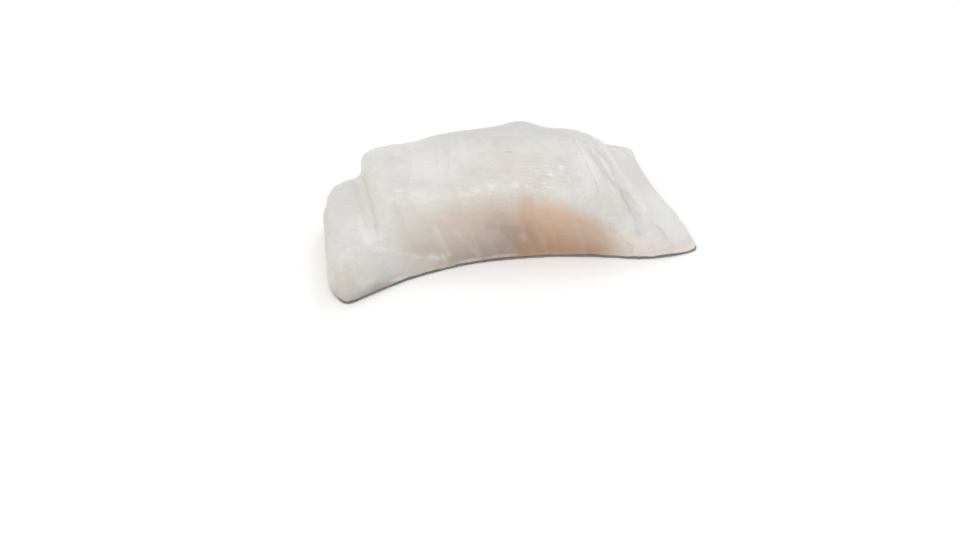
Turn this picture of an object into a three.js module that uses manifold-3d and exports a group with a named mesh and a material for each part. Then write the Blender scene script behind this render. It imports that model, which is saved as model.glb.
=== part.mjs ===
// A thick piece of cod fillet with its skin on, lying skin side down. Millimetres, +Z up.
// X runs along the piece, from its blunt left end to its slanting right end; Y runs from the cut flank at the
// front to the rounded back. The origin is the centre of the underside of the bounding box.
// The piece is one solid: the thick loin; a thinner lip of flesh, which stands out from under the loin at the
// left end and along the left half of the flank; and the skin, which shows round the foot and up the back.
import * as THREE from "three";
import { mergeVertices } from "three/addons/utils/BufferGeometryUtils.js";
import Module from "manifold-3d";

const LOIN_HEIGHT = 37;
const LIP_HEIGHT = 23.5;
const SKIN_THICKNESS = 1.4;
const SKIN_PROUD = 0.7; // the skin stands out this far beyond the flesh
const SKIN_UP_BACK = 14; // how far up the back the skin reaches, above the foot
const SKIN_BROW = 0.75; // the skin lies on the part of a section past this share of the way round

// Outlines of the foot, as x, y points that a smooth curve goes through.
const LOIN_FRONT = [
  [24, 17.6], [45, 23.4], [64, 28.5], [84, 32.3], [104, 34], [124, 33.5], [144, 32.5], [164.5, 39.5],
];
const LOIN_BACK = [[19.5, 80], [36, 86], [54, 92], [72, 95], [90, 96], [108, 94], [124, 90.5], [138.5, 84]];
const LOIN_LEFT = [[24, 17.6], [23.2, 34], [20.2, 50], [16.5, 66], [19.5, 80]];
const LOIN_RIGHT = [[164.5, 39.5], [158, 47.5], [147.5, 57], [141, 68], [138.5, 84]];
const LIP_FRONT = [[10.5, 0.5], [18, 4.7], [29, 12.3], [39, 18.4], [50, 23.6], [64, 30]];
const LIP_BACK = [[8.5, 74.5], [16.5, 77.3], [27, 77.5], [39, 73], [51, 62], [61, 46]];
const LIP_LEFT = [[10.5, 0.5], [4.6, 9], [2.2, 29], [1, 54], [8.5, 74.5]];
const LIP_RIGHT = [[64, 30], [63.5, 34], [63, 38], [62, 42], [61, 46]];

// Heights of the top along the front and back edges, at equal steps from left to right, as shares.
const LOIN_FRONT_HEIGHTS = [0.83, 0.87, 0.89, 0.91, 0.92, 0.9, 0.78, 0.5, 0.15];
const LOIN_BACK_HEIGHTS = [1.0, 0.98, 1.03, 1.08, 1.1, 1.05, 1.12, 1.04, 0.98];
const LOIN_CROWN = 0.03; // how much higher the middle of the width is than a straight line between the edges
// How far the top of the front face leans back, at equal steps from left to right, as shares of the width.
const LOIN_SLOPES = [0.28, 0.16, 0.07, 0.02, 0, 0, 0];
const LIP_FRONT_HEIGHTS = [0.73, 0.62, 0.47, 0.31, 0.12];
const LIP_BACK_HEIGHTS = [0.96, 1.0, 0.8, 0.5, 0.3];
const LIP_CROWN = 0.1;
const LIP_SLOPES = [0, 0];

// Sections from the front foot over the top to the back foot: share of the width, share of the height.
const LOIN_SECTION = [
  [0.02, 0], [0.004, 0.12], [-0.01, 0.34], [-0.004, 0.56], [0.025, 0.76], [0.085, 0.9], [0.19, 0.97],
  [0.35, 1], [0.52, 1], [0.68, 0.98], [0.82, 0.9], [0.93, 0.72], [0.985, 0.45], [1, 0.2], [0.985, 0],
];
const LIP_SECTION = [
  [0.02, 0], [0, 0.18], [0.01, 0.5], [0.06, 0.8], [0.16, 0.95], [0.34, 1], [0.55, 1], [0.72, 0.96],
  [0.86, 0.84], [0.95, 0.6], [1, 0.3], [0.985, 0],
];
const LEFT_LEAN = 0.08; // the left end leans inwards by this for each millimetre up
const RIGHT_LEAN = 0.1;
const LOIN_ROUND = [4, 1]; // how far the middle of the left and the right end stands out
const LIP_ROUND = [2.5, 1];
const END_SHRINK = { loin: 0.28, lip: 0.45 }; // the smaller, the squarer the rim of an end

// Relief: the muscle's flakes cross the piece, each edge standing a little over the next.
const FLAKES = 19;
// The drop at a flake's edge, growing between two shares of the length.
const FLAKE_STEP = { left: 0.14, right: 0.35, from: 0.5, to: 0.75 };
const SPLIT_AT = 0.836; // the deep split between two flakes near the right end, as a share of the length
const SPLIT_SKEW = 0.065; // its share is this much less at the back
const SPLIT_WIDTH = 0.022;
const SPLIT_DEPTH = 2.2;
const SPLIT_ENDS = { back: 0.85, full: 0.5 }; // shares of the width where it starts, and where it is deepest
const SPLIT_FOOT = { none: 6, full: 16 }; // heights between which it runs out down the flank
const KNOB = { x: 88, y: 86, radius: 10, rise: 2.5 }; // a low lump on the back's brow
const SWELL = 0.6; // soft unevenness all over
const SWELL_WAVES = [
  [0.5, 0.11, 0.02, 0.09], // share of the swell, then radians for each millimetre along x, y and z
  [0.3, 0.03, 0.16, 0.02],
  [0.2, 0.23, -0.2, 0.27],
];
const FOOT_FADE = 7; // the relief runs out between this height and the skin

const LOIN_STEPS = 4 * FLAKES;
const LIP_STEPS = 24;
const LOIN_RING = 42;
const LIP_RING = 30;
const CAP_STEPS = 4;
const UNDER_STEPS = 4;
const PLATE_STEPS = 110; // round the skin's outline

const wasm = await Module();
wasm.setup();

const clamp = (value) => Math.min(Math.max(value, 0), 1);
const smooth = (from, to, value) => {
  const share = clamp((value - from) / (to - from));
  return share * share * (3 - 2 * share);
};
const curve = (points) =>
  new THREE.CatmullRomCurve3(points.map(([x, y]) => new THREE.Vector3(x, y, 0)), false, "catmullrom", 0.5);
const profile = (values) => {
  const line = curve(values.map((value) => [value, 0]));
  return (share) => line.getPoint(share).x;
};

// The patch between four edges that meet at the corners: along runs from left to right, across to the back.
function patch({ front, back, left, right }) {
  const [f, b, l, r] = [front, back, left, right].map(curve);
  return (along, across) => {
    const side = clamp(across);
    const between = f.getPoint(along).lerp(b.getPoint(along), side);
    const ends = l.getPoint(side).lerp(r.getPoint(side), along);
    const frontCorners = f.getPoint(0).lerp(f.getPoint(1), along);
    const backCorners = b.getPoint(0).lerp(b.getPoint(1), along);
    const overhang = b.getPoint(along).sub(f.getPoint(along)).multiplyScalar(across - side);
    return between.add(ends).sub(frontCorners.lerp(backCorners, side)).add(overhang);
  };
}

// One body of flesh, as rings of points from the left end to the right. A ring runs from the front foot over
// the top to the back foot, and back underneath. Past each end, smaller rings make a rounded face.
function ringsOf(body) {
  const { outline, section, frontHeights, backHeights, slopes, crown, height, foot, round } = body;
  const { shrink, steps, ringSteps } = body;
  const plan = patch(outline);
  const line = curve(section);
  const over = Array.from({ length: ringSteps + 1 }, (_, i) => line.getPoint(i / ringSteps));
  const under = Array.from({ length: UNDER_STEPS - 1 }, (_, i) =>
    over[ringSteps].clone().lerp(over[0], (i + 1) / UNDER_STEPS),
  );
  const [frontHeight, backHeight, slope] = [frontHeights, backHeights, slopes].map(profile);
  const ring = (along, size, outward) =>
    [...over, ...under].map((corner, i) => {
      const leaned = corner.x + slope(along) * (corner.y * (1 - corner.x)) ** 2; // most near the brow
      const across = 0.5 + size * (leaned - 0.5);
      const level = 0.5 + size * (corner.y - 0.5);
      const side = clamp(across);
      const edge = THREE.MathUtils.lerp(frontHeight(along), backHeight(along), side);
      const top = height * (edge + crown * 4 * side * (1 - side));
      const point = plan(along, across);
      point.z = THREE.MathUtils.lerp(foot, top, level);
      point.x += outward + THREE.MathUtils.lerp(LEFT_LEAN, -RIGHT_LEAN, along) * point.z;
      return { point, along, across: side, round: i / ringSteps };
    });
  const cap = (along, way, reach) =>
    Array.from({ length: CAP_STEPS }, (_, i) => {
      const turn = ((i + 1) / (CAP_STEPS + 0.5)) * (Math.PI / 2);
      return ring(along, Math.cos(turn) ** shrink, way * reach * Math.sin(turn));
    });
  const between = Array.from({ length: steps + 1 }, (_, i) => ring(i / steps, 1, 0));
  return [...cap(0, -1, round[0]).reverse(), ...between, ...cap(1, 1, round[1])];
}

// Stitches the rings into one closed surface, with a fan on the first and the last ring.
function stitch(rows) {
  const count = rows[0].length;
  const positions = rows.flat().flatMap((point) => point.toArray());
  const index = [];
  for (let row = 0; row + 1 < rows.length; row++)
    for (let i = 0; i < count; i++) {
      const [a, b] = [row * count + i, row * count + ((i + 1) % count)];
      index.push(a, a + count, b, b, a + count, b + count);
    }
  for (const row of [0, rows.length - 1]) {
    const centre = positions.length / 3;
    const [top, foot] = [(count - UNDER_STEPS) / 2, count - UNDER_STEPS / 2].map((i) => rows[row][i]);
    positions.push(...top.clone().lerp(foot, 0.5).toArray());
    for (let i = 0; i < count; i++) {
      const [a, b] = [row * count + i, row * count + ((i + 1) % count)];
      index.push(...(row ? [centre, b, a] : [centre, a, b]));
    }
  }
  const geometry = new THREE.BufferGeometry();
  geometry.setAttribute("position", new THREE.Float32BufferAttribute(positions, 3));
  geometry.setIndex(index);
  return geometry;
}

// Soft unevenness: waves that bend as they cross the piece.
function swell({ x, y, z }) {
  const wave = ([share, perX, perY, perZ]) =>
    share * Math.sin(x * perX + y * perY + z * perZ + Math.sin(x * perY - y * perX));
  return SWELL * SWELL_WAVES.reduce((sum, values) => sum + wave(values), 0);
}

// A shingle's profile: each flake rises from left to right, and drops at its edge.
function flakes({ along }) {
  const { left, right, from, to } = FLAKE_STEP;
  return THREE.MathUtils.lerp(left, right, smooth(from, to, along)) * (((along * FLAKES) % 1) - 0.5);
}

function split({ point, along, across }) {
  const away = (along + SPLIT_SKEW * across - SPLIT_AT) / SPLIT_WIDTH;
  const backEnd = smooth(SPLIT_ENDS.back, SPLIT_ENDS.full, across);
  const foot = smooth(SPLIT_FOOT.none, SPLIT_FOOT.full, point.z);
  return SPLIT_DEPTH * Math.exp(-(away ** 2)) * backEnd * foot;
}

function knob({ point }) {
  const away = Math.hypot(point.x - KNOB.x, point.y - KNOB.y) / KNOB.radius;
  return KNOB.rise * Math.exp(-(away ** 2));
}

function skinBand({ point, round }) {
  const up = smooth(0, SKIN_THICKNESS, point.z) * smooth(SKIN_UP_BACK + 1, SKIN_UP_BACK - 1, point.z);
  return round > SKIN_BROW && round <= 1 ? SKIN_PROUD * up : 0;
}

// The rings with the relief pushed out along the surface's normals.
function carved(rings) {
  const geometry = stitch(rings.map((ring) => ring.map(({ point }) => point)));
  geometry.computeVertexNormals();
  const normal = new THREE.Vector3();
  return rings.map((ring, row) =>
    ring.map((spot, i) => {
      normal.fromBufferAttribute(geometry.attributes.normal, row * ring.length + i);
      const flesh = flakes(spot) - split(spot) + knob(spot) + swell(spot.point);
      const outward = smooth(SKIN_THICKNESS, FOOT_FADE, spot.point.z) * flesh + skinBand(spot);
      return spot.point.clone().addScaledVector(normal, outward);
    }),
  );
}

// The skin under both bodies: a plate whose rounded rim stands out beyond their feet.
function skinUnder() {
  const foot = [
    ...LIP_FRONT.slice(0, 4),
    ...LOIN_FRONT.slice(2),
    ...LOIN_RIGHT.slice(1),
    ...LOIN_BACK.slice(0, -1).reverse(),
    ...LIP_LEFT.slice(1).reverse(),
  ];
  const corners = foot.map(([x, y]) => new THREE.Vector3(x, y, 0));
  const edge = new THREE.CatmullRomCurve3(corners, true, "centripetal");
  const bevel = SKIN_THICKNESS / 3;
  const outline = edge.getPoints(PLATE_STEPS).slice(0, -1);
  const shape = new THREE.Shape(outline.map(({ x, y }) => new THREE.Vector2(x, y)));
  const plate = new THREE.ExtrudeGeometry(shape, {
    depth: SKIN_THICKNESS - 2 * bevel,
    bevelThickness: bevel,
    bevelSize: SKIN_PROUD,
    bevelSegments: 2,
  });
  return plate.translate(0, 0, bevel);
}

function solid(geometry) {
  const bare = geometry.clone();
  bare.deleteAttribute("normal");
  bare.deleteAttribute("uv");
  const merged = mergeVertices(bare, 1e-4);
  return new wasm.Manifold(
    new wasm.Mesh({
      numProp: 3,
      vertProperties: merged.attributes.position.array,
      triVerts: new Uint32Array(merged.index.array),
    }),
  );
}

const loin = {
  outline: { front: LOIN_FRONT, back: LOIN_BACK, left: LOIN_LEFT, right: LOIN_RIGHT },
  section: LOIN_SECTION,
  frontHeights: LOIN_FRONT_HEIGHTS,
  backHeights: LOIN_BACK_HEIGHTS,
  slopes: LOIN_SLOPES,
  crown: LOIN_CROWN,
  height: LOIN_HEIGHT,
  foot: 0.6 * SKIN_THICKNESS, // sunk into the skin, and not level with the lip's
  round: LOIN_ROUND,
  shrink: END_SHRINK.loin,
  steps: LOIN_STEPS,
  ringSteps: LOIN_RING,
};
const lip = {
  outline: { front: LIP_FRONT, back: LIP_BACK, left: LIP_LEFT, right: LIP_RIGHT },
  section: LIP_SECTION,
  frontHeights: LIP_FRONT_HEIGHTS,
  backHeights: LIP_BACK_HEIGHTS,
  slopes: LIP_SLOPES,
  crown: LIP_CROWN,
  height: LIP_HEIGHT,
  foot: 0.4 * SKIN_THICKNESS,
  round: LIP_ROUND,
  shrink: END_SHRINK.lip,
  steps: LIP_STEPS,
  ringSteps: LIP_RING,
};
const flesh = (body) => solid(stitch(carved(ringsOf(body))));
const { vertProperties, triVerts } = solid(skinUnder()).add(flesh(loin)).add(flesh(lip)).getMesh();
const fillet = new THREE.BufferGeometry();
fillet.setAttribute("position", new THREE.BufferAttribute(vertProperties, 3));
fillet.setIndex(new THREE.BufferAttribute(triVerts, 1));
fillet.computeBoundingBox();
const middle = fillet.boundingBox.getCenter(new THREE.Vector3());
fillet.translate(-middle.x, -middle.y, -fillet.boundingBox.min.z);

const part = new THREE.Group();
const mesh = new THREE.Mesh(
  fillet,
  new THREE.MeshStandardMaterial({ color: 0xe0ded8, roughness: 0.35, metalness: 0 }),
);
mesh.name = "fillet";
part.add(mesh);

export default part;
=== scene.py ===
import math

import bmesh
import bpy
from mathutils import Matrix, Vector


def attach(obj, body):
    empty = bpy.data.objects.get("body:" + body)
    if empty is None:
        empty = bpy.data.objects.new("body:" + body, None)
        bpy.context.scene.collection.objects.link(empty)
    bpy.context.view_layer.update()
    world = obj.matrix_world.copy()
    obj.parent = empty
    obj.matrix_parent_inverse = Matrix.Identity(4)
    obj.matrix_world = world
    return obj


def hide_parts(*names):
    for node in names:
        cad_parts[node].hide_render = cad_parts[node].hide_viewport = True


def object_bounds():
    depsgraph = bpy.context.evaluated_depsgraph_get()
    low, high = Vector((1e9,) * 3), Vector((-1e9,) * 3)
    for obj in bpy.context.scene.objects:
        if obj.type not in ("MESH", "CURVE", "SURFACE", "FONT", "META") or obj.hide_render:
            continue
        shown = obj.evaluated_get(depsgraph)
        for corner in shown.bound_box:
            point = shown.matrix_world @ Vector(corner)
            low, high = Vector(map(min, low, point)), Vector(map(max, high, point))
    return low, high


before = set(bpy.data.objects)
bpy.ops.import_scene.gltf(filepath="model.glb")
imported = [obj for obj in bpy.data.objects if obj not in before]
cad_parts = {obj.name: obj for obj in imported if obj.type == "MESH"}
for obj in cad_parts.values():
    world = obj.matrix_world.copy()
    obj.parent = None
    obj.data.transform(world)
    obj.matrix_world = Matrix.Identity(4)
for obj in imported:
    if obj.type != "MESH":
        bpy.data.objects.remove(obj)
cad_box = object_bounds()

# A thick piece of cod fillet: moist white flesh over a thin speckled skin. All sizes are in metres, in the
# solid's own frame: X runs along the piece to its slanting end, Y from the cut flank to the back, and Z up.
# Where a value is a pair of limits, something sets in at the first and is full at the second.
MM = 0.001
BLUNT_END = cad_box[0].x
END_FACE = 12 * MM  # how far in the blunt end's own face reaches
END_FADE = 32 * MM  # how far in the last trace of it is gone
FACING_LEFT = (-0.45, -0.85)  # the normal's X on a surface that faces left
FACING_BACK = (0.25, 0.6)  # its Y on one that faces back
FACING_FRONT = (0.05, -0.5)  # and on one that faces the front

# The muscle's flakes cross the piece. Their borders fan out from the blunt end to the slanting one.
FLAKES = 19
FIRST_FLAKE = BLUNT_END + 28.5 * MM  # where the front end of the first border stands
FRONT_SPAN = 138 * MM  # from the first border to the last, along the front
BACK_SPAN = 118.5 * MM  # the same along the back
BACK_SHIFT = 6.5 * MM  # the first border stands this much further left at the back
FRONT_Y = -18.5 * MM  # where the loin's width starts
DEPTH = 62 * MM  # and how wide it is
LEANS = (0.08, -0.1)  # how far the first and the last border lean for each unit of height
CONE_AXIS = (-4 * MM, 2 * MM)  # each flake is a shallow cone round a line along the piece at this Y and Z
CONE_SLOPE = 0.5  # how far a border falls back for each unit away from the axis
END_SLOPE = 1.1  # the same at the blunt end, whose face shows the borders as rings
LONG_DRIFT = 3.5  # how many flakes the borders stray over long stretches
SHORT_DRIFT = 1.1  # and over short ones

# The flank falls from its brow to the ground. The brow comes down towards the slanting end.
FRONT_TOP = 33 * MM
TAIL_TOP = 5 * MM
BROW_FALL = (0.48, 1.02)  # the shares of the length along which it comes down

# One deep split follows a border near the slanting end.
SPLIT_AT = 0.836  # its share of the length, at the front
SPLIT_SKEW = 0.065  # how much further left it is at the back, as a share of the length
SPLIT_WIDTH = 0.015  # and how wide it is
SPLIT_DRIFT = 0.03  # and how far it strays
SPLIT_EDGE = 2.2  # how many widths beyond the split its raised edge stands
SPLIT_RISE = 0.45  # how high it stands, as a share of the split's depth

# The loin's left wall rises from the lip. It is softened along a band.
WALL_X = -62 * MM  # where the band crosses the middle
WALL_SLANT = 0.22  # how far it slants to the left for each unit to the back
WALL_REACH = 5 * MM  # how far it reaches to the sides
WALL_SOFTNESS = 0.6  # 1 would round the wall as widely as a crease

SKIN_RIM = 1.0 * MM  # how high the skin shows round the foot
SKIN_BACK = 14 * MM  # how high it reaches up the back
SKIN_SWAY = 7 * MM  # how much its edge there rises and falls
SKIN_EDGE = (-0.5 * MM, 0.3 * MM)  # how far below its edge the skin sets in
BACK_HALF = (20 * MM, 30 * MM)  # where across the piece the skin goes up the back
SKIN_DIVE = 1.7 * MM  # how deep its hidden edge sinks into the flesh
SKIN_GONE = 0.004  # below this share of cover there is no skin at all
SKIN_WALL = 0.45 * MM  # its thickness

VOXEL = 0.68 * MM  # the width of the even mesh's faces
MERGE_DISTANCE = 0.002 * MM  # the solid's corners that are nearer than this are one


# ---------------------------------------------------------------- node maths

class Wire:
    """A socket of a node tree, on which plain maths can be written."""

    def __init__(self, graph, socket):
        self.graph = graph
        self.socket = socket

    def _maths(self, operation, *values):
        return self.graph.add("ShaderNodeMath", {"operation": operation}, dict(enumerate(values)))

    def __add__(self, other):
        return self._maths("ADD", self, other)

    def __radd__(self, other):
        return self._maths("ADD", other, self)

    def __sub__(self, other):
        return self._maths("SUBTRACT", self, other)

    def __rsub__(self, other):
        return self._maths("SUBTRACT", other, self)

    def __mul__(self, other):
        return self._maths("MULTIPLY", self, other)

    def __rmul__(self, other):
        return self._maths("MULTIPLY", other, self)

    def __truediv__(self, other):
        return self._maths("DIVIDE", self, other)

    def __rtruediv__(self, other):
        return self._maths("DIVIDE", other, self)

    def __neg__(self):
        return self._maths("MULTIPLY", self, -1.0)

    def do(self, operation, *values):
        """Any other operation of the Math node."""
        return self._maths(operation, self, *values)

    def of(self, name):
        """Another output of the same node."""
        return Wire(self.graph, pick(self.socket.node.outputs, name))


def pick(sockets, name):
    """The socket of that place in the list, or the shown one of that name."""
    if isinstance(name, int):
        return sockets[name]
    return next(socket for socket in sockets if socket.enabled and socket.name == name)


class Graph:
    """A node tree being built."""

    def __init__(self, tree):
        self.tree = tree

    def add(self, kind, settings=None, inputs=None, output=None):
        """A new node: its type, its settings, then the values or links of its sockets."""
        node = self.tree.nodes.new(kind)
        for name, value in (settings or {}).items():
            setattr(node, name, value)
        for name, value in (inputs or {}).items():
            socket = pick(node.inputs, name)
            if isinstance(value, Wire):
                self.tree.links.new(value.socket, socket)
            else:
                socket.default_value = value
        shown = [socket for socket in node.outputs if socket.enabled]
        if not shown:
            return node
        return Wire(self, shown[0] if output is None else pick(node.outputs, output))

    def split(self, vector):
        """The three parts of a vector."""
        x = self.add("ShaderNodeSeparateXYZ", None, {"Vector": vector}, "X")
        return x, x.of("Y"), x.of("Z")

    def vector(self, operation, first, second=None, output=None):
        """Vector maths on one or two vectors."""
        inputs = {0: first} if second is None else {0: first, 1: second}
        return self.add("ShaderNodeVectorMath", {"operation": operation}, inputs, output)

    def scale(self, vector, factor):
        """A vector made that many times as long."""
        return self.add("ShaderNodeVectorMath", {"operation": "SCALE"}, {"Vector": vector, "Scale": factor})

    def smooth(self, value, low, high):
        """Rises smoothly from 0 at low to 1 at high; falls where low is the larger."""
        ends = {"Value": value, "From Min": low, "From Max": high}
        return self.add("ShaderNodeMapRange", {"interpolation_type": "SMOOTHSTEP"}, ends)

    def blend(self, factor, first, second, kind="FLOAT"):
        """Two numbers or vectors mixed."""
        return self.add("ShaderNodeMix", {"data_type": kind}, {"Factor": factor, "A": first, "B": second})

    def tint(self, factor, first, second, way="MIX"):
        """Two colours mixed."""
        settings = {"data_type": "RGBA", "blend_type": way}
        return self.add("ShaderNodeMix", settings, {"Factor": factor, "A": first, "B": second})

    def noise(self, place, size, detail=2.0, rough=0.5, seed=0.0):
        """Soft noise whose lumps are about that size, from 0 to 1."""
        values = {"Vector": place, "W": seed, "Scale": 1 / size, "Detail": detail, "Roughness": rough}
        return self.add("ShaderNodeTexNoise", {"noise_dimensions": "4D"}, values, "Fac")

    def strands(self, place, length, width, **more):
        """Noise drawn out along X, so that its lumps are that long and that wide."""
        return self.noise(self.vector("DIVIDE", place, (length, width, width)), 1.0, **more)

    def patches(self, place, size, low=0.4, high=0.6, **more):
        """Soft patches of 0 and 1, about as much of each."""
        return self.smooth(self.noise(place, size, **more), low, high)


def bell(value):
    """1 where the value is 0, fading to 0 by about 2 either way."""
    return (-(value * value)).do("EXPONENT")


def band(value, middle, width):
    """1 where the value is at the middle, fading to 0 by about two widths either way."""
    return bell((value - middle) / width)


def at_least(low, share):
    """The share lifted so that it runs from low to 1."""
    return low + share * (1 - low)


# ---------------------------------------------------------------- where things are on the piece

def flake_share(graph, place):
    """How far along and how far across the piece a point lies, as shares of the loin's length and width."""
    x, y, z = graph.split(place)
    across = (y - FRONT_Y) / DEPTH
    rough_share = (x - FIRST_FLAKE) / FRONT_SPAN
    upright = x - z * (LEANS[0] + rough_share * (LEANS[1] - LEANS[0]))
    span = FRONT_SPAN - across * (FRONT_SPAN - BACK_SPAN)
    return (upright - FIRST_FLAKE + across * BACK_SHIFT) / span, across


def blunt_end(graph, x):
    """1 on the face of the blunt end, fading to 0 a little way in."""
    return graph.smooth(x, BLUNT_END + END_FADE, BLUNT_END + END_FACE)


def flake_phase(graph, place):
    """How far a point lies from one flake's border, 0, to the next, 1, and a chance value for the flake."""
    share, _ = flake_share(graph, place)
    x, y, z = graph.split(place)
    aside = y - CONE_AXIS[0]
    above = z - CONE_AXIS[1]
    slope = graph.blend(blunt_end(graph, x), CONE_SLOPE, END_SLOPE)
    reach = (aside * aside + above * above).do("SQRT") * slope
    long_drift = (graph.noise(place, 40 * MM, detail=0.0, seed=8.0) - 0.5) * LONG_DRIFT
    short_drift = (graph.noise(place, 12 * MM, seed=1.0) - 0.5) * SHORT_DRIFT
    count = (share + reach / FRONT_SPAN) * FLAKES + long_drift + short_drift
    whole = count.do("FLOOR")
    chance = graph.add("ShaderNodeTexWhiteNoise", {"noise_dimensions": "1D"}, {"W": whole}, "Value")
    return count.do("FRACT"), chance


def flank_depth(graph, place):
    """0 at the brow of the flank, rising to 1 at its foot."""
    share, _ = flake_share(graph, place)
    _, _, z = graph.split(place)
    brow = graph.blend(graph.smooth(share, *BROW_FALL), FRONT_TOP, TAIL_TOP)
    return (1 - z / brow).do("MAXIMUM", 0.0)


def skin_cover(graph, place, facing):
    """1 on the skin, which lies underneath and up the back, and how far below its edge a point is."""
    _, y, z = graph.split(place)
    _, back, _ = graph.split(facing)
    uneven = graph.noise(place, 22 * MM, detail=2.0, seed=4.0) - 0.5
    ragged = graph.noise(place, 7 * MM, detail=1.0, seed=9.0) - 0.5
    behind = graph.smooth(back, *FACING_BACK) * graph.smooth(y, *BACK_HALF)
    reach = graph.blend(behind, SKIN_RIM * (1 + uneven + ragged * 1.5), SKIN_BACK + uneven * SKIN_SWAY)
    below = reach - z
    return graph.smooth(below, *SKIN_EDGE), below


def aside_from(graph, place, start, end):
    """How far a point lies from the straight line between two places, given in millimetres."""
    start, end = Vector(start) * MM, Vector(end) * MM
    reach = graph.vector("SUBTRACT", place, tuple(start))
    along = end - start
    if along.length == 0:
        return graph.vector("LENGTH", reach, None, "Value")
    share = graph.vector("DOT_PRODUCT", reach, tuple(along / along.length_squared), "Value")
    share = share.do("MAXIMUM", 0.0).do("MINIMUM", 1.0)
    nearest = graph.scale(tuple(along), share)
    return graph.vector("DISTANCE", reach, nearest, "Value")


# ---------------------------------------------------------------- node trees that shape a piece

def new_form(name, sizes):
    """A node tree for a modifier, its geometry, and its sizes as named inputs."""
    tree = bpy.data.node_groups.new(name, "GeometryNodeTree")
    tree.is_modifier = True
    for way in ("INPUT", "OUTPUT"):
        tree.interface.new_socket("Geometry", in_out=way, socket_type="NodeSocketGeometry")
    for size, value in sizes.items():
        kind = "NodeSocketInt" if isinstance(value, int) else "NodeSocketFloat"
        tree.interface.new_socket(size, in_out="INPUT", socket_type=kind)
    graph = Graph(tree)
    start = graph.add("NodeGroupInput", output="Geometry")
    return graph, start, {size: start.of(size) for size in sizes}


def finish_form(graph, geometry, material):
    """The end of the tree: smoothly shaded real faces in their material."""
    smooth = graph.add("GeometryNodeSetShadeSmooth", None, {"Geometry": geometry})
    real = graph.add("GeometryNodeRealizeInstances", None, {"Geometry": smooth})
    dressed = graph.add("GeometryNodeSetMaterial", None, {"Geometry": real, "Material": material})
    graph.add("NodeGroupOutput", None, {"Geometry": dressed})


def blurred(graph, field, times, kind="FLOAT_VECTOR"):
    """A value on the points, evened out with their neighbours' that many times."""
    return graph.add("GeometryNodeBlurAttribute", {"data_type": kind}, {"Value": field, "Iterations": times})


def soft_normal(graph, times):
    """The way that the surface faces, with its fine unevenness left out."""
    return blurred(graph, graph.add("GeometryNodeInputNormal"), times)


def moved(graph, geometry, **places):
    """The geometry with each point set to a position, or pushed by an offset."""
    inputs = {name.capitalize(): value for name, value in places.items()}
    return graph.add("GeometryNodeSetPosition", None, {"Geometry": geometry, **inputs})


def kept_as(graph, geometry, name, value):
    """The geometry with that value stored on its points, for the finish to read."""
    settings = {"data_type": "FLOAT", "domain": "POINT"}
    inputs = {"Geometry": geometry, "Name": name, "Value": value}
    return graph.add("GeometryNodeStoreNamedAttribute", settings, inputs)


def compared(graph, first, operation, second, kind="FLOAT"):
    """Whether the first number is greater or less than the second."""
    settings = {"data_type": kind, "operation": operation}
    return graph.add("FunctionNodeCompare", settings, {"A": first, "B": second})


def without(graph, geometry, domain, selection):
    """The geometry with the selected points or faces deleted."""
    inputs = {"Geometry": geometry, "Selection": selection}
    return graph.add("GeometryNodeDeleteGeometry", {"domain": domain}, inputs)


# ---------------------------------------------------------------- the flesh's shape

# Low swellings, folds and dents of the flesh: from where to where, how far they reach to the sides and how
# high they stand, in millimetres. The round ones start and end in one place.
SWELLINGS = {
    "dip in the crest": ((-45, 30, 35), (-45, 38, 33), 6, -1.0),
    "left shoulder of the crest": ((-58, 34, 34), (-58, 34, 34), 9, 0.8),
    "right shoulder of the crest": ((29, 38, 35), (29, 38, 35), 10, 1.2),
    "corner beyond the notch": ((53, 33, 30), (53, 33, 30), 8, 1.3),
    "fold on top of the lip": ((-58, -26, 17), (-50, -27, 14), 4, 0.8),
    "peak of the crest": ((7, 41, 39), (-2, 42, 39), 5, 0.8),
    "dip beside the peak": ((17, 42, 38), (17, 42, 38), 4, -0.6),
    "upper lump of the slanting end": ((60, 2, 19), (64, -1, 17), 3.5, 0.8),
    "lower lump of the slanting end": ((67, -2, 15), (70, -6, 13), 3, 0.7),
    "start of the lip's ridge": ((-58, -30.5, 15.5), (-48, -28, 11.5), 1.8, 0.7),
    "middle of the lip's ridge": ((-46, -27.5, 10.5), (-38, -25.5, 8), 1.4, 0.4),
    "end of the lip's ridge": ((-34, -24.5, 6.5), (-30, -23, 5), 1.5, 0.4),
    "fold left of the split": ((29, 12, 36), (35, -6, 33), 4, 0.6),
    "fold right of the split": ((52, 2, 26), (57, -7, 22), 1.4, 0.5),
    "edge of the split": ((41, 14, 32), (48, -2, 28), 1.3, 0.5),
    "groove below the notch": ((44.5, 36, 28.5), (47, 20, 31.5), 2.4, -1.2),
    "notch in the crest": ((46, 30, 30), (46, 30, 30), 3.8, -1.4),
    "swelling beside the left wall": ((-64.5, 10, 30), (-66, 24, 29), 4.5, 1.2),
}

CREASE_DEPTHS = (0.2 * MM, 1.0 * MM)  # how hollow a crease is
LEFT_HALF = (5 * MM, -15 * MM)  # where along the piece the creases are softened
CREASE_FOOT = (2 * MM, 5 * MM)  # and at which heights
WALL_FOOT = (18 * MM, 24 * MM)  # the heights at which the left wall is softened
STEP_FALL = (0.82, 1.0)  # the part of a flake in which its height drops to the next flake's
GROOVE_AT = 0.91  # where in a flake the groove along its border runs
GROOVE_WIDTH = 0.13
GROOVE_GAPES = (0.55, 0.8)  # the values of the patches at which it opens
RIGHT_PART = (0.45, 0.8)  # the shares of the length at which the flakes come to stand out
SPLIT_BACK = (0.88, 0.6)  # the shares of the width at which the split opens, coming from the back
SPLIT_FOOT = (5 * MM, 14 * MM)  # and the heights
RELIEF_FOOT = (1.5 * MM, 5 * MM)  # the heights at which all relief sets in


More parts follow.
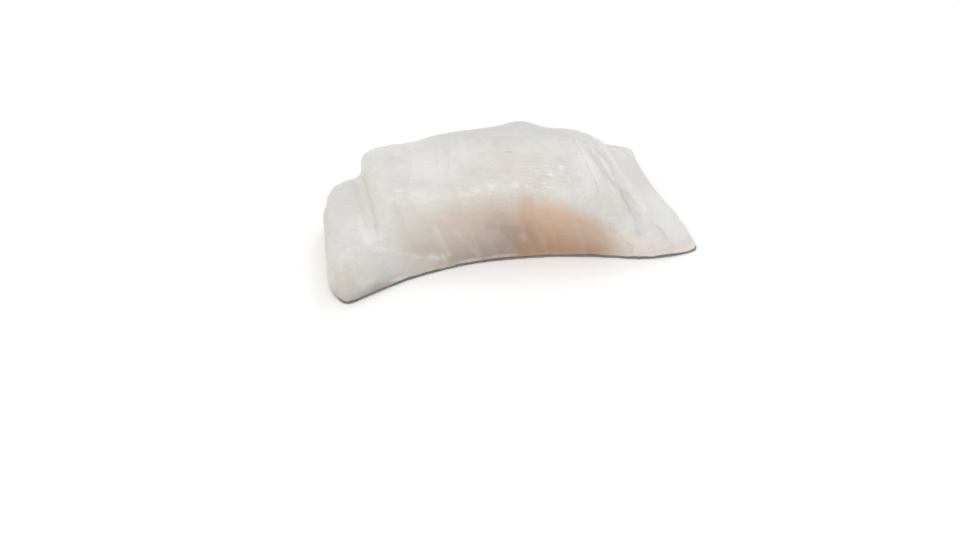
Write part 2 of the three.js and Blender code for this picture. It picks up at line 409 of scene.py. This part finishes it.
def crease_mask(graph, place, hollow):
    """How far each point is softened: up to 1 in the creases of the left half, and less on the left wall."""
    x, y, z = graph.split(place)
    left = graph.smooth(x, *LEFT_HALF) * graph.smooth(z, *CREASE_FOOT)
    wall = band(x + y * WALL_SLANT, WALL_X, WALL_REACH) * graph.smooth(z, *WALL_FOOT)
    mask = graph.smooth(hollow, *CREASE_DEPTHS) * left
    return blurred(graph, mask.do("MAXIMUM", wall * WALL_SOFTNESS), times=6, kind="FLOAT")


def softened(graph, geometry, size):
    """Takes the facets off, and rounds the left wall and the creases between the lobes much more widely."""
    place = graph.add("GeometryNodeInputPosition")
    normal = graph.add("GeometryNodeInputNormal")
    fine = blurred(graph, place, size["Soften"])
    wide = blurred(graph, place, size["Crease Soften"])
    hollow = graph.vector("DOT_PRODUCT", graph.vector("SUBTRACT", wide, place), normal, "Value")
    mask = crease_mask(graph, place, hollow)
    marked = kept_as(graph, geometry, "crease", mask)
    return moved(graph, marked, position=graph.blend(mask, fine, wide, "VECTOR"))


def swellings(graph, place):
    total = 0.0
    for start, end, radius, rise in SWELLINGS.values():
        away = aside_from(graph, place, start, end)
        total = total + bell(away / (radius * MM)) * (rise * MM)
    return total


def flake_relief(graph, place, facing, phase, chance, share, size):
    """A step from each flake to the next, and a groove where its border gapes. Both grow to the right."""
    x, _, _ = graph.split(place)
    side, _, _ = graph.split(facing)
    end = blunt_end(graph, x) * graph.smooth(side, *FACING_LEFT)
    right = at_least(0.3, graph.smooth(share, *RIGHT_PART) + end)
    broken = graph.patches(place, 16 * MM, low=0.38, detail=1.0, seed=10.0)
    step = size["Flake Step"] * right * (phase - 0.5 - graph.smooth(phase, *STEP_FALL))
    step = step * at_least(0.3, chance) * at_least(0.4, broken)
    gaping = graph.smooth(graph.noise(place, 14 * MM, seed=2.0) + chance * 0.3, *GROOVE_GAPES)
    groove = band(phase, GROOVE_AT, GROOVE_WIDTH) * size["Border Depth"] * (gaping + end * 0.5) * right
    return step - groove


def split_relief(graph, place, share, across, size):
    """The deep split, with a raised edge on its right."""
    _, _, z = graph.split(place)
    astray = (graph.noise(place, 11 * MM, detail=1.0, seed=20.0) - 0.5) * SPLIT_DRIFT
    away = (share + across * SPLIT_SKEW - SPLIT_AT + astray) / SPLIT_WIDTH
    reach = graph.smooth(across, *SPLIT_BACK) * graph.smooth(z, *SPLIT_FOOT)
    return (bell(away) - bell(away - SPLIT_EDGE) * SPLIT_RISE) * size["Split Depth"] * reach


def flesh_relief(graph, place, facing, size):
    """How far the flesh stands out."""
    share, across = flake_share(graph, place)
    phase, chance = flake_phase(graph, place)
    flakes = flake_relief(graph, place, facing, phase, chance, share, size)
    split = split_relief(graph, place, share, across, size)
    lumps = (graph.noise(place, 13 * MM, detail=1.0, seed=3.0) - 0.5) * size["Lump Height"]
    ripples = graph.strands(place, 12 * MM, 2.4 * MM, detail=1.0, seed=chance * 9 + 5.0) - 0.5
    ripples = ripples * size["Ripple Height"] * at_least(0.4, graph.patches(place, 20 * MM, seed=7.0))
    return flakes - split + lumps + ripples + swellings(graph, place)


def flesh_form(material):
    sizes = {
        "Soften": 10,  # rounds of evening out
        "Crease Soften": 170,
        "Flake Step": 0.6 * MM,
        "Border Depth": 0.38 * MM,
        "Split Depth": 1.1 * MM,
        "Lump Height": 1.2 * MM,
        "Ripple Height": 0.6 * MM,
        "Skin Recess": 0.55 * MM,
    }
    graph, start, size = new_form("flesh form", sizes)
    soft = softened(graph, start, size)
    place = graph.add("GeometryNodeInputPosition")
    facing = soft_normal(graph, times=6)
    cover, below = skin_cover(graph, place, facing)
    _, _, z = graph.split(place)
    relief = flesh_relief(graph, place, facing, size) * graph.smooth(z, *RELIEF_FOOT)
    out = relief - cover * size["Skin Recess"]
    shaped = moved(graph, soft, offset=graph.scale(facing, out))
    side, front, _ = graph.split(facing)
    for name, value in (("below", below / MM), ("side", side), ("front", front)):
        shaped = kept_as(graph, shaped, name, value)
    finish_form(graph, shaped, material)
    return graph.tree, sizes


# ---------------------------------------------------------------- the skin's shape

WRINKLE_FOOT = (1.5 * MM, 4 * MM)  # the heights at which the wrinkles set in
CLEANING_ROUNDS = 4
PINCHED = 1.5  # a point with more neighbours to spare than this lies where the sheet meets itself
SMALLEST_ISLAND = 100  # faces


def without_scraps(graph, geometry):
    """The sheet without points where it meets itself at a corner alone, and without small loose islands."""
    for _ in range(CLEANING_ROUNDS):
        neighbours = graph.add("GeometryNodeInputMeshVertexNeighbors", output="Vertex Count")
        spare = neighbours - neighbours.of("Face Count")  # 0 inside the sheet and 1 along its edge
        geometry = without(graph, geometry, "POINT", compared(graph, spare, "GREATER_THAN", PINCHED))
    island = graph.add("GeometryNodeInputMeshIsland", output="Island Index")
    faces = graph.add(
        "GeometryNodeAccumulateField",
        {"data_type": "INT", "domain": "FACE"},
        {"Value": 1, "Group ID": island},
        "Total",
    )
    return without(graph, geometry, "FACE", compared(graph, faces, "LESS_THAN", SMALLEST_ISLAND, "INT"))


def skin_form(material):
    sizes = {"Soften": 3, "Wrinkle Height": 0.25 * MM, "Dive": SKIN_DIVE}
    graph, start, size = new_form("skin form", sizes)
    place = graph.add("GeometryNodeInputPosition")
    soft = moved(graph, start, position=blurred(graph, place, size["Soften"]))
    facing = soft_normal(graph, times=4)
    cover, below = skin_cover(graph, place, facing)
    _, _, z = graph.split(place)
    wrinkle = (graph.noise(place, 6 * MM, detail=2.0, seed=6.0) - 0.5) * size["Wrinkle Height"]
    out = wrinkle * graph.smooth(z, *WRINKLE_FOOT) - (1 - cover) * size["Dive"]
    shaped = moved(graph, kept_as(graph, soft, "below", below / MM), offset=graph.scale(facing, out))
    kept = without(graph, shaped, "FACE", compared(graph, cover, "LESS_THAN", SKIN_GONE))
    finish_form(graph, without_scraps(graph, kept), material)
    return graph.tree, sizes


# ---------------------------------------------------------------- pieces

def fillet_copy(name):
    """The solid's own form as one closed, evenly meshed surface."""
    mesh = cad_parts["fillet"].data.copy()
    mesh.name = name
    mesh.materials.clear()
    work = bmesh.new()
    work.from_mesh(mesh)
    bmesh.ops.remove_doubles(work, verts=work.verts, dist=MERGE_DISTANCE)
    work.to_mesh(mesh)
    work.free()
    piece = bpy.data.objects.new(name, mesh)
    bpy.context.scene.collection.objects.link(piece)
    remesh = piece.modifiers.new("even mesh", "REMESH")
    remesh.mode = "VOXEL"
    remesh.voxel_size = VOXEL
    return piece


def shaped_piece(name, form, material, wall=0.0):
    """The copy shaped by a node tree, and by a wall thickness where it has one, as a plain mesh."""
    piece = fillet_copy(name)
    tree, sizes = form(material)
    modifier = piece.modifiers.new("form", "NODES")
    modifier.node_group = tree
    for item in tree.interface.items_tree:
        if item.in_out == "INPUT" and item.name in sizes:
            modifier[item.identifier] = sizes[item.name]
    if wall:
        thick = piece.modifiers.new("wall", "SOLIDIFY")
        thick.thickness = wall
        thick.offset = -1.0
    bpy.context.view_layer.update()
    shown = piece.evaluated_get(bpy.context.evaluated_depsgraph_get())
    mesh = bpy.data.meshes.new_from_object(shown)
    piece.modifiers.clear()
    old = piece.data
    piece.data = mesh
    bpy.data.meshes.remove(old)
    mesh.name = name
    for point in mesh.vertices:
        point.co.z = max(point.co.z, 0.0)  # nothing reaches below what the piece lies on
    return piece


# ---------------------------------------------------------------- what the finishes share

PATCH_RAGGED = 0.8  # how much a patch's edge strays in and out, as a share of its radii


def tone(red, green, blue):
    """A colour given as 0 to 255, as the linear values that a shader takes."""
    parts = [value / 255 for value in (red, green, blue)]
    linear = [part / 12.92 if part <= 0.04045 else ((part + 0.055) / 1.055) ** 2.4 for part in parts]
    return (*linear, 1.0)


def new_finish(name):
    """A material, its node tree and the place on the piece that its patterns follow."""
    material = bpy.data.materials.new(name)
    material.use_nodes = True
    material.node_tree.nodes.clear()
    graph = Graph(material.node_tree)
    return material, graph, graph.add("ShaderNodeTexCoord", output="Object")


def surface(graph, inputs, bumps=()):
    """The shader. Each bump is a height from 0 to 1, its distance in metres and its strength."""
    normal = None
    for height, distance, strength in bumps:
        relief = {"Height": height, "Distance": distance, "Strength": strength}
        if normal:
            relief["Normal"] = normal
        normal = graph.add("ShaderNodeBump", None, relief)
    if normal:
        inputs = {**inputs, "Normal": normal}
    shader = graph.add("ShaderNodeBsdfPrincipled", None, inputs)
    graph.add("ShaderNodeOutputMaterial", None, {"Surface": shader})


def attribute(graph, name):
    """A value that the shape's node tree stored on the points."""
    return graph.add("ShaderNodeAttribute", {"attribute_name": name}, None, "Fac")


def layer(graph, colour, shade, pattern, limits, strength):
    """The colour with a shade laid over it, from the pattern's first limit on, and fully at its second."""
    return graph.tint(graph.smooth(pattern, *limits) * strength, colour, shade)


def patch_at(graph, place, centre, radii, edge, size, seed):
    """A patch with a soft ragged edge, given in millimetres: 1 at its middle, and 0 at about its radii."""
    away = graph.vector("SUBTRACT", place, tuple(Vector(centre) * MM))
    reach = graph.vector("DIVIDE", away, tuple(radius * MM for radius in radii))
    ragged = (graph.noise(place, size, seed=seed) - 0.5) * PATCH_RAGGED
    return graph.smooth(graph.vector("LENGTH", reach, None, "Value") + ragged, 1.0, 1.0 - edge)


# ---------------------------------------------------------------- the flesh's finish

# Tints of the flesh: where, how far they reach along each axis, in millimetres, their colour and strength.
TINTS = {
    "pinkish middle of the top": ((1, 4, 37), (26, 24, 16), (212, 200, 194), 0.35),
    "cream edge of the left wall": ((-63, 3, 27), (6, 22, 13), (214, 207, 187), 0.5),
    # painted highlight: a cool bright patch on the lip's top where the wall meets it
    "painted highlight in the hollow at the wall's foot": ((-62, -24, 18), (8, 8, 6), (221, 222, 228), 0.55),
    "top of the lip": ((-70, -9, 22), (12, 11, 9), (210, 203, 201), 0.5),
    "greenish face of the lip": ((-56, -36, 8), (11, 7, 6), (188, 192, 186), 0.35),
    "warm corner of the lip": ((-71, -45, 13), (11, 10, 9), (204, 194, 180), 0.3),
    "pink spot on the top": ((-6, 19, 39), (3.5, 6, 5), (208, 180, 178), 0.35),
    "face of the blunt end": ((-82, -18, 12), (9, 38, 24), (199, 190, 174), 0.75),
    # painted shade, darker towards the ground
    "painted shade at the foot of the lip's corner": ((-74, -46, 4), (12, 8, 9), (178, 170, 156), 0.45),
    "edge of the blunt end": ((-76, -4, 22), (15, 32, 10), (204, 202, 200), 0.5),
    # partly painted shade, where the lights from behind brighten the crest, and partly the grey of its thin
    # edge
    "grey crest, partly painted shade": ((-12, 36, 39), (62, 25, 16), (196, 196, 196), 0.85),
    # painted shade on the lower face of the lip
    "painted shade on the lip's foot": ((-51, -35, 5), (22, 12, 7), (190, 190, 187), 0.4),
    "cream of the blunt corner": ((-77, -42, 6), (13, 18, 12), (205, 197, 183), 0.4),
    # painted shade, darker towards the ground at the lip's foot
    "painted shade near the skin's rim": ((-60, -42, 0), (26, 15, 9), (150, 140, 128), 0.8),
    # painted light, lifting the brow where it rounds over
    "painted light on the left of the brow": ((-40, -12, 31), (14, 10, 9), (230, 230, 227), 0.3),
    # a paler flake, partly painted highlight on its lit ridge
    "pale flake left of the split, partly painted highlight": ((34, 5, 34), (9, 17, 12), (226, 226, 228), 0.55),
    # partly the end's pale colour and partly painted light on the side facing right
    "pale slanting end, partly painted light": ((66, -3, 14), (24, 27, 16), (224, 224, 222), 0.7),
    "tan start of the flank's right": ((7, -14, 24), (5, 9, 12), (186, 146, 118), 0.3),
    "dusk in the middle of the flank": ((-5, -15, 20), (11, 9, 9), (160, 143, 136), 0.35),
    # tan, darkened by painted shade towards the ground
    "tan and painted shade at the flank's foot": ((4, -16, 12), (14, 8, 11), (150, 124, 108), 0.45),
    "pale left part of the top": ((-34, 4, 35), (22, 15, 10), (224, 223, 220), 0.4),
    # partly painted highlight where the ridge ends
    "pale end of the lip's ridge, partly painted highlight": ((-34, -25, 6), (9, 4, 4), (226, 226, 226), 0.15),
    "cool face below the ridge": ((-50, -32, 9), (15, 7, 5), (208, 211, 214), 0.4),
    # painted shade on the flank just above the ridge
    "painted shade above the lip's ridge": ((-38, -25, 12), (9, 5, 4), (176, 168, 158), 0.35),
    "calm right part of the flank": ((32, -14, 13), (16, 10, 15), (190, 170, 154), 0.4),
}

# Narrow marks on the flesh: from where to where, how wide in millimetres, their colour and strength.
MARKS = {
    # partly painted highlight: the white of the lip's ridge where it catches the light
    "start of the lip's ridge": ((-58, -30, 15.5), (-49, -28, 12), 0.9, (240, 240, 238), 0.5),
    "middle of the lip's ridge": ((-46, -27, 10.5), (-40, -26, 8.5), 0.8, (238, 238, 237), 0.25),
    # painted glints at the end of the lip's ridge
    "first painted glint": ((-35, -24.5, 8), (-32, -23.5, 6.5), 1.0, (238, 238, 238), 0.35),
    "second painted glint": ((-30, -23, 7.5), (-28.5, -22.5, 4.5), 0.8, (240, 240, 240), 0.33),
    "white line above the skin": ((-53, -36, 3.5), (-37, -29, 2.2), 0.6, (238, 238, 236), 0.5),
    "dark fleck on the top": ((-2.0, 11.6, 38.4), (0.8, 11.4, 38.4), 0.55, (172, 164, 150), 0.45),
    "first pale band of the flank": ((-32.6, -21, 19.6), (-27, -22.2, 7), 1.1, (228, 220, 210), 0.35),
    "second pale band of the flank": ((-24.3, -20.2, 19), (-14, -18.8, 4.5), 1.2, (216, 204, 192), 0.35),
    "dark fibre of the flank": ((-10, -17.7, 18.8), (3, -16.2, 17.2), 0.9, (150, 132, 118), 0.3),
    "pink spot of the flank": ((5.3, -16.1, 13.2), (6, -16.1, 11), 1.4, (214, 170, 158), 0.45),
    # painted shade down the split
    "painted shade in the split, upper part": ((36, 17, 33), (44, 3.5, 29), 2.2, (192, 192, 185), 0.5),
    "painted shade in the split, lower part": ((44, 3.5, 29), (52, -10.5, 23), 2.3, (192, 190, 182), 0.5),
    # painted glints along the raised edge of the split
    "painted glint on the split's edge, upper": ((41, 14, 32), (46, 3.5, 29), 1.1, (240, 240, 242), 0.6),
    "painted glint on the split's edge, lower": ((46, 3.5, 29), (50, -5, 27), 0.7, (240, 240, 242), 0.3),
    # painted highlight on the lit step of the next flake
    "painted highlight on the next flake's edge": ((56, -3, 24), (59, -9, 21), 1.0, (236, 236, 236), 0.5),
}

FLESH_WHITE = tone(213, 212, 208)
FLESH_GREY = tone(205, 204, 201)
PALE_STREAK_AND_SHEEN = tone(230, 229, 228)
DARK_STREAK = tone(194, 184, 178)
# painted light: a warm cream that lifts the shade falling in the creases
CREASE_LIGHT_CREAM = tone(222, 216, 204)
FLAKE_GREY_AND_SHADE = tone(192, 188, 182)
BORDER_WHITE = tone(232, 231, 228)
RING_GREY = tone(190, 184, 176)
MEMBRANE_WHITE = tone(238, 237, 234)
TORN_CENTRE = (6, -4, 35)  # where the fibres of the top are torn and show most, in millimetres
TORN_RADII = (42, 14, 12)

# The cut flank is tan, and darker from its brow to its foot: partly its own colour and partly painted shade
# where it turns from the light. Its shades follow each other from the left to the right.
BROW_SHADES = (tone(206, 195, 181), tone(202, 182, 167), tone(206, 176, 150))
FOOT_TAN_AND_SHADE = (tone(182, 173, 160), tone(165, 148, 138), tone(174, 138, 108))
TAIL_SHADE = tone(230, 216, 208)
FLANK_STARTS = (-66 * MM, -20 * MM)
MIDDLE_STARTS = (-40 * MM, -5 * MM)
RIGHT_STARTS = (-5 * MM, 10 * MM)
TAIL_STARTS = (38 * MM, 62 * MM)
FLANK_STOPS = (60 * MM, 30 * MM)
RIGHT_SWAY = 10 * MM  # how far the start of the right shade strays
STOP_SWAY = 20 * MM  # and how far the end of all of them does
FLANK_BROW = (-0.05, 0.3)  # how far down the flank its shades set in, as shares of its height
FLANK_FOOT = (0.15, 0.9)  # the same for its darker foot, tan with painted shade


def flesh_ground(graph, cloudy, streaks, torn):
    """Clouded white with paler and darker streaks, which show more where the top is torn; the paler ones are
    partly painted sheen.
    """
    colour = graph.tint(graph.smooth(cloudy, 0.35, 0.7), FLESH_WHITE, FLESH_GREY)
    # the paler streaks are partly pale fibres and partly painted sheen along them
    colour = layer(graph, colour, PALE_STREAK_AND_SHEEN, streaks, limits=(0.52, 0.7), strength=0.25 + torn * 0.4)
    return layer(graph, colour, DARK_STREAK, streaks, limits=(0.46, 0.3), strength=0.2 + torn * 0.3)


def with_flank(graph, colour, place, front):
    """The colour with the pinkish and tan of the cut flank, darker towards its foot partly by painted shade,
    and where the flank is.
    """
    x, _, _ = graph.split(place)
    depth = flank_depth(graph, place)
    uneven = (graph.strands(place, 22 * MM, 5 * MM, detail=3.0, rough=0.6, seed=16.0) - 0.5) * 0.7
    flank = graph.smooth(front, *FACING_FRONT) * graph.smooth(depth + uneven * depth, *FLANK_BROW)
    stained = flank * (graph.smooth(x, *FLANK_STARTS) * graph.smooth(x + uneven * STOP_SWAY, *FLANK_STOPS))
    middle = graph.smooth(x, *MIDDLE_STARTS)
    right = graph.smooth(x + uneven * RIGHT_SWAY, *RIGHT_STARTS)
    low = graph.smooth(depth, *FLANK_FOOT)
    # the foot's colours are partly painted shade, darker towards the ground
    for shades, share in ((BROW_SHADES, stained), (FOOT_TAN_AND_SHADE, stained * low)):
        shade = graph.tint(right, graph.tint(middle, shades[0], shades[1]), shades[2])
        colour = graph.tint(share * 0.9, colour, shade)
    return graph.tint(graph.smooth(x, *TAIL_STARTS) * flank * 0.7, colour, TAIL_SHADE), flank


def with_tints(graph, colour, place):
    for number, (centre, radii, shade, strength) in enumerate(TINTS.values()):
        spot = patch_at(graph, place, centre, radii, edge=0.8, size=9 * MM, seed=40.0 + number)
        colour = graph.tint(spot * strength, colour, tone(*shade))
    return colour


def with_marks(graph, colour, place):
    uneven = 0.7 + graph.noise(place, 4 * MM, detail=2.0, seed=18.0) * 0.6
    for start, end, width, shade, strength in MARKS.values():
        line = bell(aside_from(graph, place, start, end) * uneven / (width * MM))
        colour = graph.tint(line * strength, colour, tone(*shade))
    return colour


def with_flakes(graph, colour, place, phase, chance, flank):
    """The colour with each flake greying towards its border, partly its own tone and partly painted shade of
    its step, its pale broken border, and rings on the blunt end.
    """
    x, _, _ = graph.split(place)
    side = attribute(graph, "side")
    # each flake greys towards its border: a random tone per flake, and painted shade where its step drops
    colour = graph.tint(graph.smooth(phase, 0.1, 0.9) * chance * 0.2, colour, FLAKE_GREY_AND_SHADE)
    both_ends = graph.smooth(side.do("ABSOLUTE"), 0.6, 0.95)
    border = band(phase, middle=0.9, width=0.1) * chance * (1 - flank * 0.85) * (1 + both_ends)
    border = border * at_least(0.35, graph.smooth(x, 0.0, 35 * MM))
    border = border * at_least(0.3, graph.patches(place, 9 * MM, seed=17.0))
    colour = graph.tint(border * 0.25, colour, BORDER_WHITE)
    rings = band(phase, middle=0.75, width=0.12) * at_least(0.4, chance) * blunt_end(graph, x)
    return graph.tint(rings * graph.smooth(side, *FACING_LEFT) * 0.45, colour, RING_GREY)


def flesh_finish():
    material, graph, place = new_finish("moist cod flesh")
    phase, chance = flake_phase(graph, place)
    cloudy = graph.noise(place, 14 * MM, detail=3.0, seed=11.0)
    streaks = graph.strands(place, 7 * MM, 1.6 * MM, detail=3.0, rough=0.6, seed=chance * 5 + 12.0)
    wet = graph.strands(place, 8 * MM, 2 * MM, detail=4.0, rough=0.6, seed=13.0)
    fibres = graph.strands(place, 5 * MM, 0.7 * MM, detail=4.0, rough=0.65, seed=chance * 5 + 14.0)
    grain = graph.noise(place, 0.9 * MM, detail=3.0, seed=15.0)
    torn = patch_at(graph, place, TORN_CENTRE, TORN_RADII, edge=0.7, size=10 * MM, seed=19.0)

    colour = flesh_ground(graph, cloudy, streaks, torn)
    colour, flank = with_flank(graph, colour, place, attribute(graph, "front"))
    colour = with_tints(graph, colour, place)
    colour = with_marks(graph, colour, place)
    # painted light: the creases of the left half are lifted to a warm cream against the shade that falls in
    # them
    colour = graph.tint(attribute(graph, "crease") * 0.3, colour, CREASE_LIGHT_CREAM)
    colour = with_flakes(graph, colour, place, phase, chance, flank)
    membrane = band(attribute(graph, "below"), middle=-1.1, width=0.7) * graph.smooth(cloudy, 0.42, 0.6)
    colour = graph.tint(membrane * 0.4, colour, MEMBRANE_WHITE)
    colour = graph.tint(0.12 + torn * 0.3, colour, fibres, "SOFT_LIGHT")

    x, _, _ = graph.split(place)
    dull = blunt_end(graph, x) * 0.5
    surface(
        graph,
        {
            "Base Color": colour,
            "Roughness": 0.32 + wet * 0.2,
            "Coat Weight": graph.smooth(wet, 0.42, 0.66) * (1 - dull) * 0.6,
            "Coat Roughness": 0.16,
            "IOR": 1.38,
            "Subsurface Weight": 0.45,
            "Subsurface Radius": (1.0, 0.75, 0.6),
            "Subsurface Scale": 3 * MM,
        },
        [(fibres, 0.2 * MM, 0.5), (grain, 0.08 * MM, 0.5)],
    )
    return material


# ---------------------------------------------------------------- the skin's finish

SCALE_SIZE = 1.1 * MM
SPOT_SLANT = math.radians(25)  # how far the spots are turned on the skin
SKIN_PALE = tone(166, 157, 150)
SKIN_DARK = tone(140, 131, 122)
SPOT_OLIVE = tone(112, 103, 66)
SPECKLE_BROWN = tone(96, 87, 76)
SILVER_AND_SHEEN = tone(208, 201, 200)
CUT_EDGE_CREAM = tone(228, 225, 218)
RIM_SHADE_DARK = tone(88, 81, 75)
RIM_SHADE_PALE = tone(138, 130, 121)


def skin_finish():
    material, graph, place = new_finish("speckled cod skin")
    _, _, z = graph.split(place)
    turn = {"Vector": place, "Angle": SPOT_SLANT}
    slanting = graph.add("ShaderNodeVectorRotate", {"rotation_type": "Y_AXIS"}, turn)
    spots = graph.strands(slanting, 3.4 * MM, 1.7 * MM, detail=1.0, seed=21.0)
    cloudy = graph.noise(place, 14 * MM, detail=2.0, seed=22.0)
    grain = graph.noise(place, 0.5 * MM, detail=2.0, seed=23.0)
    speckle = graph.noise(place, 0.9 * MM, detail=2.0, seed=24.0)
    silver_and_sheen = graph.strands(slanting, 5 * MM, 1.3 * MM, detail=3.0, rough=0.7, seed=25.0)
    lattice = {"Vector": place, "Scale": 1 / SCALE_SIZE}
    scales = graph.add("ShaderNodeTexVoronoi", {"feature": "F1"}, lattice, "Distance")

    colour = graph.tint(graph.smooth(cloudy, 0.35, 0.65), SKIN_PALE, SKIN_DARK)
    colour = layer(graph, colour, SPOT_OLIVE, spots, limits=(0.5, 0.66), strength=0.8)
    colour = layer(graph, colour, SPECKLE_BROWN, speckle, limits=(0.5, 0.75), strength=0.5)
    # partly the skin's own silver and partly painted sheen
    colour = layer(graph, colour, SILVER_AND_SHEEN, silver_and_sheen, limits=(0.52, 0.7), strength=0.6)
    cut_edge = graph.smooth(attribute(graph, "below"), 1.3, 0.5) * graph.smooth(z, 3 * MM, 5 * MM)
    colour = graph.tint(cut_edge, colour, CUT_EDGE_CREAM)
    # partly painted shade: the skin darkens towards the ground, as the contact line under the piece and its
    # own dark edge
    rim = graph.tint(graph.smooth(cloudy, 0.4, 0.65), RIM_SHADE_DARK, RIM_SHADE_PALE)
    colour = layer(graph, colour, rim, z, limits=(3 * MM, 1.2 * MM), strength=0.8)
    surface(
        graph,
        {
            "Base Color": colour,
            "Roughness": 0.24 + grain * 0.2,
            "Coat Weight": 0.6,
            "Coat Roughness": 0.1,
            "Subsurface Weight": 0.1,
            "Subsurface Radius": (0.6, 0.4, 0.3),
            "Subsurface Scale": 1 * MM,
        },
        [(scales, 0.12 * MM, 0.5), (grain, 0.04 * MM, 0.4)],
    )
    return material


# ---------------------------------------------------------------- studio

FLOOR_SIZE = 8.0
FLOOR_WHITE = (0.93, 0.93, 0.93, 1.0)
SKY_WHITE = (1.0, 1.0, 1.0, 1.0)
SKY_STRENGTH = 0.87
VIEW_DOWN = math.radians(38)
VIEW_DISTANCE = 1.0
VIEW_LENS = 85.2  # millimetres, as is the width of the film
FILM_WIDTH = 36
VIEW_AIM = Vector((-0.0134, -0.02415, 0.0))  # the place on the floor in the middle of the view

# Wide soft lights: the direction that each comes from, its spread in degrees and its strength.
LIGHTS = {
    "overhead": ((-0.4, -0.5, 1.0), 40, 0.5),
    "glint": ((-0.05, -0.1, 1.0), 12, 0.25),
    "back glint": ((0.3, 0.6, 0.8), 14, 0.25),
}


def floor_finish():
    material, graph, _ = new_finish("white studio floor")
    surface(graph, {"Base Color": FLOOR_WHITE, "Roughness": 0.9, "Specular IOR Level": 0.1})
    return material


def add_floor():
    half = FLOOR_SIZE / 2
    mesh = bpy.data.meshes.new("floor")
    corners = [(-half, -half, 0), (half, -half, 0), (half, half, 0), (-half, half, 0)]
    mesh.from_pydata(corners, [], [(0, 1, 2, 3)])
    mesh.materials.append(floor_finish())
    floor = bpy.data.objects.new("floor", mesh)
    bpy.context.scene.collection.objects.link(floor)


def add_lights():
    world = bpy.data.worlds.new("studio")
    world.use_nodes = True
    sky = world.node_tree.nodes["Background"]
    sky.inputs["Color"].default_value = SKY_WHITE
    sky.inputs["Strength"].default_value = SKY_STRENGTH
    bpy.context.scene.world = world
    for name, (source, spread, strength) in LIGHTS.items():
        data = bpy.data.lights.new(name, "SUN")
        data.angle = math.radians(spread)
        data.energy = strength
        light = bpy.data.objects.new(name, data)
        light.rotation_euler = (-Vector(source)).to_track_quat("-Z", "Y").to_euler()
        bpy.context.scene.collection.objects.link(light)


def add_camera():
    data = bpy.data.cameras.new("camera")
    data.lens = VIEW_LENS
    data.sensor_width = FILM_WIDTH
    data.clip_start = 0.01
    camera = bpy.data.objects.new("camera", data)
    back = Vector((0, -math.cos(VIEW_DOWN), math.sin(VIEW_DOWN)))
    camera.location = VIEW_AIM + back * VIEW_DISTANCE
    camera.rotation_euler = (math.pi / 2 - VIEW_DOWN, 0, 0)
    bpy.context.scene.collection.objects.link(camera)
    bpy.context.scene.camera = camera


# ---------------------------------------------------------------- the piece

flesh = shaped_piece("flesh", flesh_form, flesh_finish())
skin = shaped_piece("skin", skin_form, skin_finish(), SKIN_WALL)
for piece in (flesh, skin):
    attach(piece, "root")
    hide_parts("fillet")

add_floor()
add_lights()
add_camera()
bpy.context.scene.view_settings.view_transform = "Standard"
bpy.context.scene.view_settings.look = "None"
